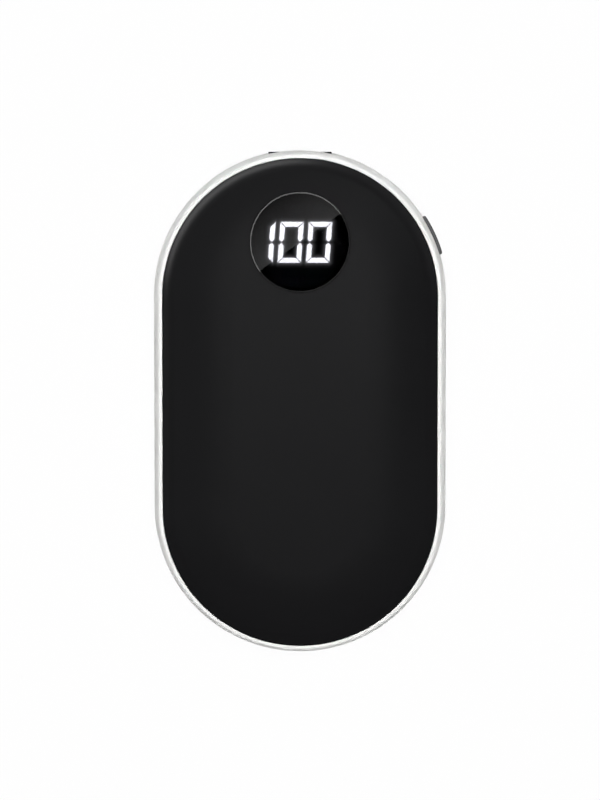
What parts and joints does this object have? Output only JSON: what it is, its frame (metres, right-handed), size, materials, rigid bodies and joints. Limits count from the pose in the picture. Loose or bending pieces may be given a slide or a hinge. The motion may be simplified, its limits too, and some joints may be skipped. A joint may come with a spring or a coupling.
{
  "type": "rechargeable hand warmer",
  "caption": "Pocket hand warmer with rounded ends: crowned black covers clipped into a white band, round lit display, side power button and USB-C charging socket.",
  "frame": {"origin": "middle of the flat rear face, on which the part lies", "axes": "+Z out of the display face, +Y towards the charging socket, +X towards the power button"},
  "size_m": [0.061, 0.1046, 0.024],
  "materials": {
    "cover_soft_touch": "soft-touch coating",
    "band_white": "gloss moulding",
    "port_black": "fine moulded grain",
    "button_grey": "satin moulding",
    "lens_smoked": "polished",
    "adhesive": "tape",
    "cradle_grey": "moulded",
    "screw_steel": "zinc plated",
    "cell_foil": "laminate foil",
    "nickel": "rolled strip",
    "board_green": "solder mask",
    "film_amber": "polyimide film",
    "track_metal": "etched foil",
    "insulator_white": "pressed fibre sheet",
    "feeler_black": "epoxy",
    "socket_steel": "drawn sheet",
    "tongue_black": "moulded",
    "contact_gold": "plated",
    "switch_black": "moulded",
    "plunger_white": "moulded",
    "display_black": "moulded",
    "segment_lit": "lit from behind",
    "segment_dark": "unlit",
    "pin_tin": "tin plated",
    "chip_black": "moulded",
    "ferrite": "pressed",
    "capacitor_tan": "fired",
    "lead_red": "extruded sleeve",
    "lead_black": "extruded sleeve"
  },
  "bodies": {
    "case": {"front_cover": "cover_soft_touch", "rear_cover": "cover_soft_touch", "frame_band": "band_white", "port_insert": "port_black", "display_lens": "lens_smoked", "lens_adhesive": "adhesive", "battery_cradle": "cradle_grey", "cradle_screws": "screw_steel", "front_cell": "cell_foil", "rear_cell": "cell_foil", "cell_tabs": "nickel", "cell_links": "nickel", "protection_board": "board_green", "front_heater_film": "film_amber", "front_heater_track": "track_metal", "front_insulator": "insulator_white", "front_thermistor": "feeler_black", "front_heater_leads": "lead_red", "front_sensor_leads": "lead_black", "rear_heater_film": "film_amber", "rear_heater_track": "track_metal", "rear_insulator": "insulator_white", "rear_thermistor": "feeler_black", "rear_heater_leads": "lead_red", "rear_sensor_leads": "lead_black", "main_board": "board_green", "board_screws": "screw_steel", "usb_shell": "socket_steel", "usb_tongue": "tongue_black", "usb_contacts": "contact_gold", "switch_body": "switch_black", "display_housing": "display_black", "lit_segments": "segment_lit", "unlit_segments": "segment_dark", "display_pins": "pin_tin", "charge_chip": "chip_black", "microcontroller": "chip_black", "power_inductor": "ferrite", "board_capacitors": "capacitor_tan", "board_resistors": "chip_black", "heater_transistors": "chip_black", "battery_positive_lead": "lead_red", "battery_negative_lead": "lead_black"},
    "button": {"power_button": "button_grey", "switch_plunger": "plunger_white"}
  },
  "joints": [
    {"name": "button_press", "type": "slide", "parent": "case", "child": "button", "axis": [-0.9085, -0.4179, 0], "range_m": [0, 0.0004], "stiffness_N_per_m": 4000}
  ]
}
